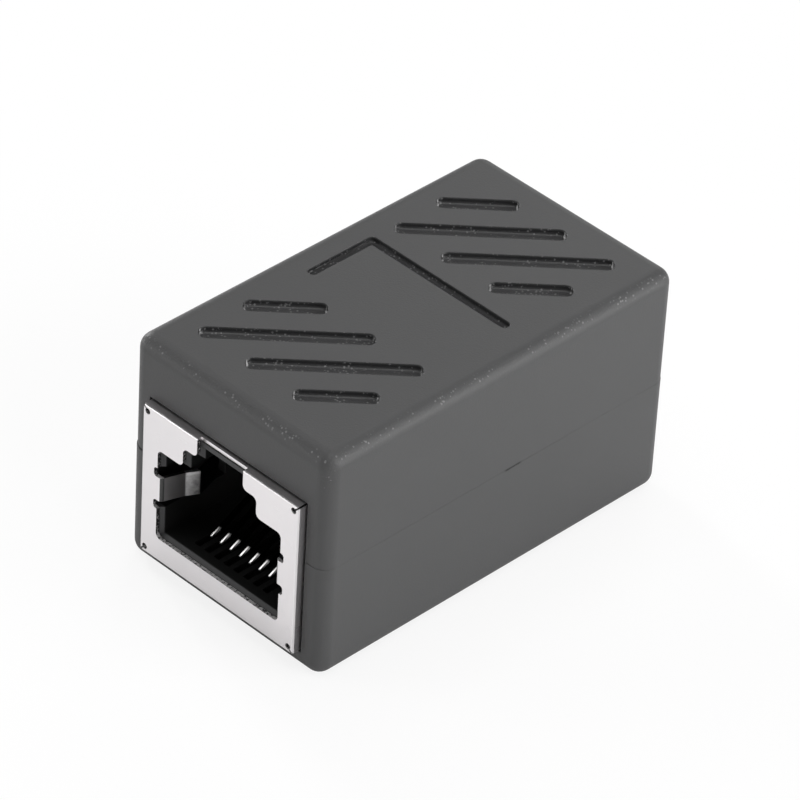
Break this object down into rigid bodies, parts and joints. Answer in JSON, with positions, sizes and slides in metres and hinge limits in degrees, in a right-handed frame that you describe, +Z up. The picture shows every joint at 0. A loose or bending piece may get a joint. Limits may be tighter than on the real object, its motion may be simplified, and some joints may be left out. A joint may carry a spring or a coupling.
{
  "type": "rj45 inline coupler",
  "caption": "Straight coupler that joins two modular network plugs end to end: a rounded two-part plastic case round two back-to-back shielded jacks.",
  "frame": {"origin": "middle of the underside", "axes": "+Y along the plug axis towards the rear port, +X across the case, +Z up from the contacts' side to the latch side"},
  "size_m": [0.0202, 0.0364, 0.0198],
  "materials": {
    "case": "fine moulded texture, charcoal",
    "shield": "satin nickel plate on stamped sheet",
    "jack_plastic": "black moulded thermoplastic",
    "contact": "bright plated spring wire",
    "board": "green solder mask on glass-filled board"
  },
  "bodies": {
    "root": {"upper_shell": "case", "lower_shell": "case", "circuit_board": "board", "front_shield": "shield", "front_jack_body": "jack_plastic", "front_contact_block": "jack_plastic", "front_contact_1": "contact", "front_contact_2": "contact", "front_contact_3": "contact", "front_contact_4": "contact", "front_contact_5": "contact", "front_contact_6": "contact", "front_contact_7": "contact", "front_contact_8": "contact", "rear_shield": "shield", "rear_jack_body": "jack_plastic", "rear_contact_block": "jack_plastic", "rear_contact_1": "contact", "rear_contact_2": "contact", "rear_contact_3": "contact", "rear_contact_4": "contact", "rear_contact_5": "contact", "rear_contact_6": "contact", "rear_contact_7": "contact", "rear_contact_8": "contact"}
  },
  "joints": []
}
